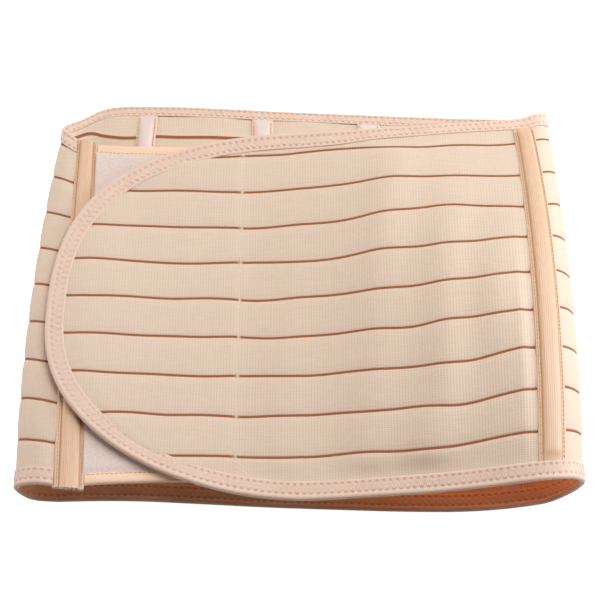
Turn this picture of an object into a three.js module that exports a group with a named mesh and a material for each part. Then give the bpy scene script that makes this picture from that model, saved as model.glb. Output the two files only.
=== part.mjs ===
// A wrap-round abdominal binder, fastened and lying on its back on a table, in millimetres.
// X runs across the body, Y up the body and Z up from the table. The band is one long spiral:
// the rounded front flap, the right fold, the back, the left fold and the landing under the flap.
import * as THREE from "three";
import { mergeVertices } from "three/addons/utils/BufferGeometryUtils.js";

// Size of the closed band
const HALF_WIDTH = 157; // from the middle to the bend of a fold, at the bottom hem
const LIFT = 45; // how high the front hem stands off the table at its highest
const STRIP = 25; // from one brown line of the weave to the next
const STRIPS = 8; // strips between the top line and the bottom line
const OVER = 21; // cloth above the top line, at the back
const UNDER = 41; // cloth below the bottom line, at the back

// Cloth, tapes and the room between sewn layers
const CLOTH = 1.4; // woven elastic
const GAP = 0.35; // between two layers that are sewn together
const TAPE = 0.8; // folded edge tape
const TAPE_WIDTH = 10; // edge tape, from its fold to its rim
const INNER_TOP_WIDTH = 7; // the same inside the back's top hem, where it is folded short
const LANDING_TAPE_WIDTH = 7; // plain edge tape of the landing
const LOOP_PILE = 1.0; // soft loop facing of the landing
const HOOK_TAPE = 1.2; // hook tape under the flap
const LOOSE = 1.0; // room that the flap keeps over the landing

// Stays: a flat bone in a sewn casing
const SIDE_CASING_WIDTH = 16;
const SIDE_CASING_RISE = 2.6; // top of the bone over the cloth
const BACK_CASING_WIDTH = 14;
const BACK_CASING_RISE = 2.0;
const CASING_RIM = 0.9; // flat rim of a casing, where it is stitched down
const BONE_SHARE = 0.56; // the bone's share of a casing's width
const BACK_STAY_PLACES = [0.75, 0.28, -0.16, -0.66]; // X of each back stay, in HALF_WIDTHs
const STAY_LEAN = 0.06; // how far a back stay leans outwards going down, as a share of its X

// Flap and landing outlines
const TIP_REACH = 0.94 * HALF_WIDTH; // how far left the flap reaches
const TIP_HEIGHT = 4.28 * STRIP; // height of its furthest point over the flap's bottom edge
const TIP_TOP_FULLNESS = 0.78; // 1 is a plain ellipse, less is fuller
const TIP_BOTTOM_FULLNESS = 0.88;
const TIP_TOP_RUN = 0.98 * HALF_WIDTH; // the rounded end's run along the top edge
const TIP_BOTTOM_RUN = 1.02 * HALF_WIDTH; // and along the bottom edge
const HOOK_RUN = 0.715 * HALF_WIDTH; // hook tape, from the furthest point to its seam
const HOOK_INSET = 9; // hook tape, in from the flap's edge tape
const LANDING_END = 0.14 * HALF_WIDTH; // X of the landing's hidden end
const LANDING_DROP = 9; // how much its bottom edge rises from the seam to that end
const LANDING_EASE = 0.5; // 1 is an even rise, less is a quick one near the seam
const LANDING_DIP = 6; // how much its top edge falls
const PATCH_INSET = 1.5; // loop facing, in from the landing's edge tape

// How finely the cloth is faceted
const STEPS = { flat: 4, bend: 3 };
const LEVELS = 8; // rows of facets up the band
const TIP_STEPS = 26; // facets round the flap's end

const BINDING_HALF = CLOTH / 2 + GAP + TAPE;
const STACK = Math.max(
  CLOTH / 2 + SIDE_CASING_RISE,
  CLOTH / 2 + GAP + LOOP_PILE + HOOK_TAPE,
) + BINDING_HALF + LOOSE;

// Sections of the band, from the flap's tip round to the landing's hidden end. hemX and topX are
// shares of HALF_WIDTH, hemZ and topZ of LIFT, hemY of the strips' height; over and under are
// shares of OVER and UNDER. bow moves mid height outwards along X and crown lifts it, as shares
// of LIFT. on is the share of STACK that the section rides above the landing, and bend marks the
// tight stretches, which take finer facets.
const COLUMNS = ["name", "hemX", "hemZ", "topX", "topZ", "hemY", "over", "under", "bow", "crown",
  "on", "bend"];
const SECTIONS = [
  ["tip", -0.98, 0.64, -0.98, 0.24, -0.626, 0.60, 0.56, 0.00, 0.02, 1, 0],
  ["tip seam", -0.81, 0.65, -0.83, 0.24, -0.626, 0.60, 0.56, 0.00, -0.01, 1, 0],
  ["flap left", -0.48, 0.50, -0.48, 0.22, -0.628, 0.62, 0.57, 0.00, -0.07, 1, 0],
  ["flap half left", -0.21, 0.42, -0.20, 0.22, -0.635, 0.64, 0.62, 0.00, -0.07, 1, 0],
  ["flap middle", 0.00, 0.46, 0.00, 0.24, -0.642, 0.66, 0.66, 0.00, -0.02, 1, 0],
  ["flap half right", 0.23, 0.58, 0.24, 0.32, -0.639, 0.72, 0.64, 0.00, 0.06, 0.8, 0],
  ["flap right", 0.53, 0.79, 0.53, 0.38, -0.631, 0.84, 0.64, 0.00, 0.26, 0.2, 0],
  ["right seam", 0.87, 1.00, 0.885, 0.33, -0.611, 0.97, 0.68, 0.06, 0.32, 0, 1],
  ["right shoulder", 0.955, 0.84, 0.945, 0.31, -0.597, 1.00, 0.68, 0.09, 0.20, 0, 1],
  ["right fold", 1.00, 0.49, 0.98, 0.20, -0.586, 1.00, 0.67, 0.09, 0.06, 0, 1],
  ["right lower", 0.965, 0.18, 0.945, 0.08, -0.592, 1.00, 0.71, 0.07, 0.00, 0, 1],
  ["back right end", 0.88, 0.00, 0.87, 0.00, -0.608, 1.00, 0.80, 0.02, 0.00, 0, 0],
  ["back right", 0.62, 0.00, 0.64, 0.00, -0.630, 1.00, 0.93, 0.00, 0.00, 0, 0],
  ["back middle", 0.00, 0.00, 0.00, 0.00, -0.622, 1.00, 1.00, 0.00, 0.00, 0, 0],
  ["back left", -0.62, 0.00, -0.58, 0.00, -0.600, 1.00, 1.00, 0.00, 0.00, 0, 0],
  ["back left end", -0.88, 0.00, -0.79, 0.00, -0.602, 0.98, 0.98, -0.03, 0.00, 0, 1],
  ["left lower", -0.97, 0.14, -0.88, 0.06, -0.604, 0.78, 0.87, -0.09, 0.00, 0, 1],
  ["left fold", -1.01, 0.39, -0.94, 0.17, -0.592, 0.60, 0.71, -0.12, 0.02, 0, 1],
  ["left shoulder", -0.935, 0.65, -0.915, 0.24, -0.598, 0.45, 0.64, -0.08, 0.02, 0, 1],
  ["left seam", -0.81, 0.65, -0.85, 0.24, -0.610, 0.32, 0.62, -0.02, -0.02, 0, 0],
  ["landing left", -0.48, 0.50, -0.48, 0.22, -0.606, 0.38, 0.53, 0.00, -0.07, 0, 0],
  ["landing middle", -0.21, 0.42, -0.20, 0.22, -0.613, 0.48, 0.55, 0.00, -0.07, 0, 0],
  ["landing end", 0.15, 0.47, 0.15, 0.26, -0.625, 0.58, 0.58, 0.00, -0.03, 0, 0],
].map((row) => Object.fromEntries(COLUMNS.map((column, k) => [column, row[k]])));

const indexOf = (name) => SECTIONS.findIndex((section) => section.name === name);
const RIGHT_SEAM = indexOf("right seam");
const LEFT_SEAM = indexOf("left seam");
const LAST = SECTIONS.length - 1;

// The band's mid surface: a smooth curve through the bottom hem, one through the top hem, and
// straight cloth between them that bows and crowns towards mid height.
const strips = STRIP * STRIPS;
const heights = SECTIONS.map((s) => strips + s.over * OVER + s.under * UNDER);
const hemPoints = SECTIONS.map((s) => new THREE.Vector3(
  s.hemX * HALF_WIDTH,
  s.hemY * strips,
  s.hemZ * LIFT + s.on * STACK + BINDING_HALF,
));
const topPoints = SECTIONS.map((s, k) => {
  const x = s.topX * HALF_WIDTH;
  const z = s.topZ * LIFT + s.on * STACK + BINDING_HALF;
  const hem = hemPoints[k];
  const run = Math.sqrt(heights[k] ** 2 - (x - hem.x) ** 2 - (z - hem.z) ** 2);
  return new THREE.Vector3(x, hem.y + run, z);
});
const swellPoints = SECTIONS.map((s) => new THREE.Vector3(s.bow * LIFT, 0, s.crown * LIFT));
const [hemCurve, topCurve, swellCurve] = [hemPoints, topPoints, swellPoints].map(
  (points) => new THREE.CatmullRomCurve3(points, false, "centripetal"),
);

// The table holds the cloth up by the thickness of the edge tape.
function midSurface(place, share) {
  const u = THREE.MathUtils.clamp(place / LAST, 0, 1);
  const swell = 4 * share * (1 - share);
  const point = hemCurve.getPoint(u)
    .lerp(topCurve.getPoint(u), share)
    .addScaledVector(swellCurve.getPoint(u), swell);
  point.z = Math.max(point.z, BINDING_HALF);
  return point;
}

// The surface is sampled once on a lattice of places along the band and shares of its height, and
// every piece lies on those same facets, so that layers stay parallel however the band is bent.
const places = [];
for (let k = 0; k < LAST; k++) {
  const steps = SECTIONS[k].bend || SECTIONS[k + 1].bend ? STEPS.bend : STEPS.flat;
  for (let j = 0; j < steps; j++) places.push(k + j / steps);
}
places.push(LAST);
const shares = Array.from({ length: LEVELS + 1 }, (_, j) => j / LEVELS);

const lattice = places.map((place) => shares.map((share) => {
  const step = 1e-3;
  const along = midSurface(Math.min(place + step, LAST), share)
    .sub(midSurface(Math.max(place - step, 0), share));
  const up = midSurface(place, share + step).sub(midSurface(place, share - step));
  return { point: midSurface(place, share), normal: along.cross(up).normalize() };
}));

function cell(values, value) {
  let k = 0;
  while (k < values.length - 2 && values[k + 1] <= value) k++;
  return [k, (value - values[k]) / (values[k + 1] - values[k])];
}

// The point at a place along the band and a share of its height, offset outwards by out.
function onBand(place, share, out) {
  const [i, a] = cell(places, place);
  const [j, b] = cell(shares, share);
  const corners = [[i, j, (1 - a) * (1 - b)], [i + 1, j, a * (1 - b)],
    [i, j + 1, (1 - a) * b], [i + 1, j + 1, a * b]];
  const point = new THREE.Vector3();
  for (const [m, n, weight] of corners) {
    point.addScaledVector(lattice[m][n].point, weight);
    point.addScaledVector(lattice[m][n].normal, weight * out);
  }
  return point;
}

// Lengths along the band, at mid height, to and from places.
const runs = places.map(() => 0);
for (let k = 1; k < places.length; k++) {
  runs[k] = runs[k - 1] + onBand(places[k], 0.5, 0).distanceTo(onBand(places[k - 1], 0.5, 0));
}
function runAt(place) {
  const [k, a] = cell(places, place);
  return runs[k] + a * (runs[k + 1] - runs[k]);
}
function placeAt(run) {
  const [k, a] = cell(runs, run);
  return places[k] + a * (places[k + 1] - places[k]);
}
function heightAt(place) {
  const k = Math.min(Math.floor(place), LAST - 1);
  return THREE.MathUtils.lerp(heights[k], heights[k + 1], place - k);
}

// The place between two sections where the band at mid height crosses a given X.
function placeAtX(x, from, to) {
  let [low, high] = [from, to];
  const rising = onBand(to, 0.5, 0).x > onBand(from, 0.5, 0).x;
  for (let k = 0; k < 40; k++) {
    const middle = (low + high) / 2;
    if ((onBand(middle, 0.5, 0).x < x) === rising) low = middle;
    else high = middle;
  }
  return (low + high) / 2;
}

// Every lattice value between two ends, with the ends themselves.
function between(values, from, to) {
  const room = 0.12 * (values[1] - values[0]);
  return [from, ...values.filter((v) => v > from + room && v < to - room), to];
}

// A closed sheet over columns and rows, made from a box with as many facets. place(column, row,
// side) gives a corner's point, with side 1 on the outer face and 0 on the inner one.
function sheet(columns, rows, place) {
  const box = new THREE.BoxGeometry(1, 1, 1, columns - 1, rows - 1, 1);
  box.deleteAttribute("normal");
  box.deleteAttribute("uv");
  const geometry = mergeVertices(box);
  const corners = geometry.getAttribute("position");
  for (let k = 0; k < corners.count; k++) {
    const column = Math.round((corners.getX(k) + 0.5) * (columns - 1));
    const row = Math.round((corners.getY(k) + 0.5) * (rows - 1));
    const point = place(column, row, corners.getZ(k) > 0 ? 1 : 0);
    corners.setXYZ(k, point.x, point.y, point.z);
  }
  return geometry;
}

// A layer of even thickness over stretches of the lattice. edges(place) gives the lower and the
// upper edge as shares of the height.
function layer(fromPlace, toPlace, edges, inner, outer) {
  const columns = between(places, fromPlace, toPlace);
  const rows = shares.length;
  return sheet(columns.length, rows, (i, j, side) => {
    const [low, high] = edges(columns[i]);
    const share = THREE.MathUtils.lerp(low, high, j / (rows - 1));
    return onBand(columns[i], share, side ? outer : inner);
  });
}

// Folded edge tape along a path of stations. Each station has the place and share of the tape's
// fold and the place and share of its rims; the tape is open towards the rims.
const TAPE_SECTION = [
  { in: 1, out: 1, inner: [1, 1] },
  { in: 0.07, out: 1, inner: [0, 1] },
  { in: 0, out: 0.5, inner: [0, 0.5] },
  { in: 0, out: -0.5, inner: [0, -0.5] },
  { in: 0.07, out: -1, inner: [0, -1] },
  { in: 1, out: -1, inner: [1, -1] },
];
function foldedTape(stations, width, innerWidth = width) {
  const clear = CLOTH / 2 + GAP;
  return sheet(stations.length, TAPE_SECTION.length, (i, j, side) => {
    const { fold, rim } = stations[i];
    const corner = TAPE_SECTION[TAPE_SECTION.length - 1 - j];
    const reach = corner.out < 0 ? innerWidth / width : 1;
    let inwards = corner.in * reach;
    let out = corner.out * BINDING_HALF;
    if (!side) {
      inwards = THREE.MathUtils.lerp(TAPE / width, reach, corner.inner[0]);
      out = corner.inner[1] * clear;
    }
    const place = THREE.MathUtils.lerp(fold[0], rim[0], inwards);
    const share = THREE.MathUtils.lerp(fold[1], rim[1], inwards);
    return onBand(place, share, out);
  });
}

// Straight edge tape along the lower or the upper edge of a panel.
function edgeTape(fromPlace, toPlace, edges, upper, width, innerWidth = width) {
  const columns = between(places, fromPlace, toPlace);
  if (upper) columns.reverse();
  return foldedTape(columns.map((place) => {
    const [low, high] = edges(place);
    const inwards = width / heightAt(place);
    return upper
      ? { fold: [place, high], rim: [place, high - inwards] }
      : { fold: [place, low], rim: [place, low + inwards] };
  }), width, innerWidth);
}

// A panel's own edges, set in so that its cut edge stays inside the edge tape.
const tuck = TAPE + GAP;
const tucked = (edges) => (place) => {
  const [low, high] = edges(place);
  const inset = tuck / heightAt(place);
  return [low + inset, high - inset];
};

// The back panel keeps the band's own edges. The landing is a little lower at its hidden end.
const bandEdges = () => [0, 1];
function landingEdges(place) {
  const share = (place - LEFT_SEAM) / (LAST - LEFT_SEAM);
  const rise = share ** LANDING_EASE * LANDING_DROP;
  return [rise / heightAt(place), 1 - share * LANDING_DIP / heightAt(place)];
}

// Where the panels meet at the side seams
const seamRoom = GAP / 2;
const rightSeamRun = runAt(RIGHT_SEAM);
const leftSeamRun = runAt(LEFT_SEAM);
const backStart = placeAt(rightSeamRun + seamRoom);
const backEnd = placeAt(leftSeamRun - seamRoom);
const landingStart = placeAt(leftSeamRun + seamRoom);
const landingEnd = placeAtX(LANDING_END, LEFT_SEAM, LAST);
const flapEnd = placeAt(rightSeamRun - seamRoom);

// The flap's outline is an ellipse quarter above the tip and one below it, then straight edges.
const tipRun = runAt(placeAtX(-TIP_REACH, 0, 2));

// Points round the flap's end, from the bottom edge over the tip to the top edge: the run along
// the band and the height over the bottom edge.
function outlinePoint(k, inset) {
  const angle = THREE.MathUtils.lerp(-Math.PI / 2, Math.PI / 2, k / TIP_STEPS);
  const above = angle > 0;
  const across = above ? TIP_TOP_RUN : TIP_BOTTOM_RUN;
  const reach = above ? heightAt(1) - TIP_HEIGHT : TIP_HEIGHT;
  const fullness = above ? TIP_TOP_FULLNESS : TIP_BOTTOM_FULLNESS;
  const round = (value) => Math.sign(value) * Math.abs(value) ** fullness;
  return [
    tipRun + across - (across - inset) * round(Math.cos(angle)),
    TIP_HEIGHT + (reach - inset) * round(Math.sin(angle)),
  ];
}
const flapPoint = ([run, level]) => {
  const place = placeAt(run);
  return [place, level / heightAt(1)];
};

// Stations of the flap's edge tape: along the top edge to the rounded end, round it and back
// along the bottom edge to the right seam.
function flapStations(width) {
  const bottomFrom = placeAt(tipRun + TIP_BOTTOM_RUN);
  const topFrom = placeAt(tipRun + TIP_TOP_RUN);
  const bottomRun = between(places, bottomFrom, flapEnd).slice(1).reverse();
  const topRun = between(places, topFrom, flapEnd).slice(1);
  const inwards = (place) => width / heightAt(place);
  const round = Array.from({ length: TIP_STEPS + 1 }, (_, k) => ({
    fold: flapPoint(outlinePoint(k, 0)),
    rim: flapPoint(outlinePoint(k, width)),
  }));
  return [
    ...bottomRun.map((place) => ({ fold: [place, 0], rim: [place, inwards(place)] })),
    ...round,
    ...topRun.map((place) => ({ fold: [place, 1], rim: [place, 1 - inwards(place)] })),
  ].reverse();
}

// A sheet that fills the flap's outline. Its columns spread from the rounded end to where the
// straight edges begin, and then follow the lattice to the right seam if it goes that far.
function flapSheet(inset, toRun, count, inner, outer) {
  const rows = TIP_STEPS + 1;
  const spreadTo = Math.min(toRun, runs.find((run) => run > tipRun + TIP_BOTTOM_RUN + TAPE_WIDTH));
  const tail = between(places, placeAt(spreadTo), placeAt(toRun)).slice(1);
  const columns = count + 1 + (toRun > spreadTo ? tail.length : 0);
  return sheet(columns, rows, (i, j, side) => {
    const [startRun, level] = outlinePoint(j, inset);
    const place = i > count
      ? tail[i - count - 1]
      : placeAt(THREE.MathUtils.lerp(startRun, spreadTo, i / count));
    return onBand(place, level / heightAt(1), side ? outer : inner);
  });
}

// A stay's casing: stitched rims with a raised bone between them, along a line up the band.
// line(share) gives the place of its middle, and face is 1 outside the band and -1 inside it.
// Its columns take in every lattice place that it covers, so that it bends with the cloth.
function casing(line, from, to, width, rise, face) {
  const bone = BONE_SHARE / 2;
  const knots = [-0.5, -bone - 0.06, -bone * 0.6, bone * 0.6, bone + 0.06, 0.5];
  const crest = [CASING_RIM, CASING_RIM, rise, rise, CASING_RIM, CASING_RIM];
  const centre = runAt(line(0.5));
  const folds = runs.map((run) => (run - centre) / width).filter(
    (across) => knots.every((knot) => Math.abs(across - knot) > 0.03) && Math.abs(across) < 0.5,
  );
  const columns = [...knots, ...folds].sort((p, q) => p - q);
  const rows = between(shares, from, to);
  return sheet(columns.length, rows.length, (i, j, side) => {
    const [k, a] = cell(knots, columns[i]);
    const height = THREE.MathUtils.lerp(crest[k], crest[k + 1], a);
    const place = placeAt(runAt(line(rows[j])) + columns[i] * width);
    const outer = side === (face > 0 ? 1 : 0);
    return onBand(place, rows[j], face * (CLOTH / 2 + (outer ? height : GAP)));
  });
}

// Materials, as seen on the real cloth and tapes
const cloth = { color: 0xe3cdb4, roughness: 0.9, metalness: 0 };
const edgeCloth = { color: 0xe6c9b2, roughness: 0.8, metalness: 0 };
const plainTape = { color: 0xe8c8a4, roughness: 0.6, metalness: 0 };
const satinTape = { color: 0xe6c39c, roughness: 0.5, metalness: 0 };
const backTape = { color: 0xe6d6cc, roughness: 0.5, metalness: 0 };
const loopPile = { color: 0xdccdc4, roughness: 0.95, metalness: 0 };
const hookTape = { color: 0xe2d3c4, roughness: 0.7, metalness: 0 };

const binder = new THREE.Group();
function add(name, geometry, finish) {
  geometry.computeVertexNormals();
  const mesh = new THREE.Mesh(geometry, new THREE.MeshStandardMaterial(finish));
  mesh.name = name;
  binder.add(mesh);
}

const half = CLOTH / 2;
const tapeShare = (place, width) => width / heightAt(place);

add("flap_panel", flapSheet(tuck, runAt(flapEnd), 14, -half, half), cloth);
add("back_panel", layer(backStart, backEnd, tucked(bandEdges), -half, half), cloth);
add("landing_panel", layer(landingStart, placeAt(runAt(landingEnd) - tuck),
  tucked(landingEdges), -half, half), cloth);

add("flap_edge_tape", foldedTape(flapStations(TAPE_WIDTH), TAPE_WIDTH), edgeCloth);
const tapeStart = backStart;
const tapeEnd = placeAt(leftSeamRun - SIDE_CASING_WIDTH / 2 - GAP);
add("back_edge_tape_bottom", edgeTape(tapeStart, tapeEnd, bandEdges, false, TAPE_WIDTH), edgeCloth);
add("back_edge_tape_top",
  edgeTape(tapeStart, tapeEnd, bandEdges, true, TAPE_WIDTH, INNER_TOP_WIDTH), edgeCloth);

// The landing's plain tape runs along its bottom edge, up its hidden end and back along its top.
const landingTapeStart = placeAt(leftSeamRun + SIDE_CASING_WIDTH / 2 + GAP);
add("landing_edge_tape_bottom",
  edgeTape(landingTapeStart, landingEnd, landingEdges, false, LANDING_TAPE_WIDTH), plainTape);
add("landing_edge_tape_top",
  edgeTape(landingTapeStart, landingEnd, landingEdges, true, LANDING_TAPE_WIDTH), plainTape);

const patchEdges = (place) => {
  const [low, high] = landingEdges(place);
  const inset = tapeShare(place, LANDING_TAPE_WIDTH + PATCH_INSET);
  return [low + inset, high - inset];
};
add("loop_facing", layer(
  placeAt(leftSeamRun + SIDE_CASING_WIDTH / 2 + PATCH_INSET),
  placeAt(runAt(landingEnd) - LANDING_TAPE_WIDTH),
  patchEdges, half + GAP, half + GAP + LOOP_PILE), loopPile);

add("hook_tape", flapSheet(TAPE_WIDTH + HOOK_INSET, tipRun + HOOK_RUN, 8,
  -half - GAP - HOOK_TAPE, -half - GAP), hookTape);

// Side casings cover the two seams outside. The right one ends at the edge tape's rims, and the
// left one runs from edge to edge.
const rightRim = (TAPE_WIDTH + GAP) / heightAt(RIGHT_SEAM);
add("right_side_casing", casing(() => RIGHT_SEAM, rightRim, 1 - rightRim,
  SIDE_CASING_WIDTH, SIDE_CASING_RISE, 1), satinTape);
add("left_side_casing", casing(() => LEFT_SEAM, 0, 1,
  SIDE_CASING_WIDTH, SIDE_CASING_RISE, 1), satinTape);

// Four back casings inside the back panel, from edge tape to edge tape.
BACK_STAY_PLACES.forEach((x, k) => {
  const at = (share) => {
    const lean = 1 + STAY_LEAN * (0.5 - share);
    return placeAtX(x * HALF_WIDTH * lean, indexOf("right lower"), indexOf("left lower"));
  };
  const [low, high] = [TAPE_WIDTH, INNER_TOP_WIDTH].map((width) => (width + GAP) / heightAt(at(0.5)));
  add(`back_casing_${k + 1}`, casing(at, low, 1 - high,
    BACK_CASING_WIDTH, BACK_CASING_RISE, -1), backTape);
});

// The origin is under the middle of the binder, on the table.
binder.updateMatrixWorld(true);
const box = new THREE.Box3().setFromObject(binder, true);
const centre = box.getCenter(new THREE.Vector3());
binder.position.set(-centre.x, -centre.y, -box.min.z);

export default binder;
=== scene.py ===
import math
import random

import bmesh
import bpy
import numpy as np
from mathutils import Matrix, Vector


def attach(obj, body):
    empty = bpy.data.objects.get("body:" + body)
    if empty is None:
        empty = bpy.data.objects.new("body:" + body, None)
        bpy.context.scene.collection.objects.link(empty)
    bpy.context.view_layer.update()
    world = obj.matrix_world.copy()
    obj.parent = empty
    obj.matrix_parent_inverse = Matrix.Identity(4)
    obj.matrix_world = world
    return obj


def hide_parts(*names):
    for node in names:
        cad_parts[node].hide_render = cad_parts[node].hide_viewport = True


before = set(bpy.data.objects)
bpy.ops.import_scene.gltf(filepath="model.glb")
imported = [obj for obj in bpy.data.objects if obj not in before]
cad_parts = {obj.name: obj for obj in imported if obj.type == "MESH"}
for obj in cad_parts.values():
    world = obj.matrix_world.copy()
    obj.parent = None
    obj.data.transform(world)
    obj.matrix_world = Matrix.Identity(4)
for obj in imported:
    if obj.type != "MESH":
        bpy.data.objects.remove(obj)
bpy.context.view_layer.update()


# Studio. The binder lies on a seamless white table that is lit until it turns pure white. A wide
# soft light hangs above and behind it on the right, and two smaller ones stand low at its sides,
# so that the folds show and the mouth of the tube, towards the camera, stays in its own shade.
def linear(hex_colour):
    """An sRGB hex value as linear red, green, blue and alpha."""
    parts = [int(hex_colour[k : k + 2], 16) / 255 for k in (0, 2, 4)]
    return [c / 12.92 if c <= 0.04045 else ((c + 0.055) / 1.055) ** 2.4 for c in parts] + [1.0]


def fill(node, inputs):
    """Sets a node's inputs, or links them from sockets or from the first one of other nodes."""
    for key, value in inputs.items():
        if isinstance(value, bpy.types.Node):
            value = value.outputs[0]
        if isinstance(value, bpy.types.NodeSocket):
            node.id_data.links.new(value, node.inputs[key])
        else:
            node.inputs[key].default_value = value


def add_node(tree, kind, inputs=None, **settings):
    """Adds a node, sets its properties and fills its inputs."""
    made = tree.nodes.new("ShaderNode" + kind)
    for key, value in settings.items():
        setattr(made, key, value)
    fill(made, inputs or {})
    return made


scene = bpy.context.scene
scene.view_settings.view_transform = "Standard"

# The camera looks down over the bottom hem. Its place and reach are in metres.
TARGET = Vector((0.0002, -0.0068, 0.015))
CAMERA_REACH = 0.930
CAMERA_HEIGHT = math.radians(65)
camera = bpy.data.objects.new("camera", bpy.data.cameras.new("camera"))
camera.data.sensor_width = 36
camera.data.lens = 94.1
camera.location = TARGET + CAMERA_REACH * Vector(
    (0, -math.cos(CAMERA_HEIGHT), math.sin(CAMERA_HEIGHT))
)
camera.rotation_euler = (math.pi / 2 - CAMERA_HEIGHT, 0, 0)
scene.collection.objects.link(camera)
scene.camera = camera

mesh = bpy.data.meshes.new("table")
bm = bmesh.new()
bmesh.ops.create_grid(bm, x_segments=1, y_segments=1, size=3)
bm.to_mesh(mesh)
bm.free()
table = bpy.data.objects.new("table", mesh)
scene.collection.objects.link(table)

# The table glows a little by itself, so that it stays white under the cloth's soft shadow.
table_white = bpy.data.materials.new("white_table")
table_white.use_nodes = True
tree = table_white.node_tree
seen = add_node(tree, "LightPath")
glow = add_node(
    tree, "MapRange", {"Value": seen.outputs["Is Camera Ray"], "To Min": 0.09, "To Max": 0.95},
)
fill(tree.nodes["Principled BSDF"], {
    "Base Color": linear("f4f4f4"), "Roughness": 0.9, "Emission Color": linear("ffffff"),
    "Emission Strength": glow,
})
table.data.materials.append(table_white)

world = bpy.data.worlds.new("studio")
scene.world = world
world.use_nodes = True
fill(world.node_tree.nodes["Background"], {"Color": linear("ffcca8"), "Strength": 0.08})


def soft_light(name, place, aim, size, power, colour):
    """A lamp behind a rectangle of diffusing cloth, in metres and watts, out of the picture."""
    light = bpy.data.objects.new(name, bpy.data.lights.new(name, "AREA"))
    light.data.shape = "RECTANGLE"
    light.data.size, light.data.size_y = size
    light.data.energy = power
    light.data.color = linear(colour)[:3]
    light.location = Vector(place)
    light.rotation_euler = (Vector(aim) - light.location).to_track_quat("-Z", "Y").to_euler()
    light.visible_camera = False
    scene.collection.objects.link(light)


soft_light("overhead_softbox", (0.5, 0.5, 1.2), (0, 0, 0), (1.2, 0.9), 17.8, "fffcfb")
soft_light("right_softbox", (1.2, 0.15, 0.42), (0, 0, 0), (0.5, 0.6), 10.5, "eef2ff")
soft_light("left_softbox", (-1.1, 0.15, 0.36), (-0.15, 0, 0), (0.5, 0.5), 7.0, "f8f3fa")

# The real cloth is thin enough for light to come through, which turns the inside of the tube
# brown, and orange at the right. Two small warm lights inside stand for it.
soft_light(
    "light_through_cloth", (-0.02, -0.03, 0.014), (-0.02, -0.2, 0.0), (0.26, 0.01), 0.07, "ffa868",
)
soft_light(
    "light_through_right_fold", (0.115, -0.05, 0.028), (0.12, -0.2, 0.0), (0.05, 0.015), 0.014,
    "ff7c14",
)


# The band. One long strip of cloth winds round as a flat spiral: flap, right fold, back, left
# fold, landing. Each section gives its hem and its top as shares of the sizes below, and smooth
# curves run through them; the lengths are millimetres.
HALF_WIDTH = 157
LIFT = 45  # how high the hem stands at the right seam
STRIP = 25  # the cloth between two brown lines
STRIPS = 8
OVER = 21  # the most cloth beyond the top brown line
UNDER = 41  # and below the bottom one
CLOTH = 1.4  # its thickness
STACK = 6.15  # how far the flap lies above the landing
TABLE_GAP = 1.85  # from the table to the middle of the lowest cloth
SAME_POINT = 1e-4  # sections nearer to each other than this count as one
PLACES = 200  # measured along each section
COLUMNS = ["name", "hemX", "hemZ", "topX", "topZ", "hemY", "over", "under", "bow", "crown", "on"]
SECTIONS = [
    ["tip", -0.98, 0.64, -0.98, 0.24, -0.626, 0.60, 0.56, 0.00, 0.02, 1],
    ["tip seam", -0.81, 0.65, -0.83, 0.24, -0.626, 0.60, 0.56, 0.00, -0.01, 1],
    ["flap left", -0.48, 0.50, -0.48, 0.22, -0.628, 0.62, 0.57, 0.00, -0.07, 1],
    ["flap half left", -0.21, 0.42, -0.20, 0.22, -0.635, 0.64, 0.62, 0.00, -0.07, 1],
    ["flap middle", 0.00, 0.46, 0.00, 0.24, -0.642, 0.66, 0.66, 0.00, -0.02, 1],
    ["flap half right", 0.23, 0.58, 0.24, 0.32, -0.639, 0.72, 0.64, 0.00, 0.06, 0.8],
    ["flap right", 0.53, 0.79, 0.53, 0.38, -0.631, 0.84, 0.64, 0.00, 0.26, 0.2],
    ["right seam", 0.87, 1.00, 0.885, 0.33, -0.611, 0.97, 0.68, 0.06, 0.32, 0],
    ["right shoulder", 0.955, 0.84, 0.945, 0.31, -0.597, 1.00, 0.68, 0.09, 0.20, 0],
    ["right fold", 1.00, 0.49, 0.98, 0.20, -0.586, 1.00, 0.67, 0.09, 0.06, 0],
    ["right lower", 0.965, 0.18, 0.945, 0.08, -0.592, 1.00, 0.71, 0.07, 0.00, 0],
    ["back right end", 0.88, 0.00, 0.87, 0.00, -0.608, 1.00, 0.80, 0.02, 0.00, 0],
    ["back right", 0.62, 0.00, 0.64, 0.00, -0.630, 1.00, 0.93, 0.00, 0.00, 0],
    ["back middle", 0.00, 0.00, 0.00, 0.00, -0.622, 1.00, 1.00, 0.00, 0.00, 0],
    ["back left", -0.62, 0.00, -0.58, 0.00, -0.600, 1.00, 1.00, 0.00, 0.00, 0],
    ["back left end", -0.88, 0.00, -0.79, 0.00, -0.602, 0.98, 0.98, -0.03, 0.00, 0],
    ["left lower", -0.97, 0.14, -0.88, 0.06, -0.604, 0.78, 0.87, -0.09, 0.00, 0],
    ["left fold", -1.01, 0.39, -0.94, 0.17, -0.592, 0.60, 0.71, -0.12, 0.02, 0],
    ["left shoulder", -0.935, 0.65, -0.915, 0.24, -0.598, 0.45, 0.64, -0.08, 0.02, 0],
    ["left seam", -0.81, 0.65, -0.85, 0.24, -0.610, 0.32, 0.62, -0.02, -0.02, 0],
    ["landing left", -0.48, 0.50, -0.48, 0.22, -0.606, 0.38, 0.53, 0.00, -0.07, 0],
    ["landing middle", -0.21, 0.42, -0.20, 0.22, -0.613, 0.48, 0.55, 0.00, -0.07, 0],
    ["landing end", 0.15, 0.47, 0.15, 0.26, -0.625, 0.58, 0.58, 0.00, -0.03, 0],
]
RIGHT_SEAM, LEFT_SEAM, LAST = 7.0, 19.0, 22.0
FRAME_SHIFT = np.array([0.246, -6.768, 0.0])  # the frame's origin is the middle of the box

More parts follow.
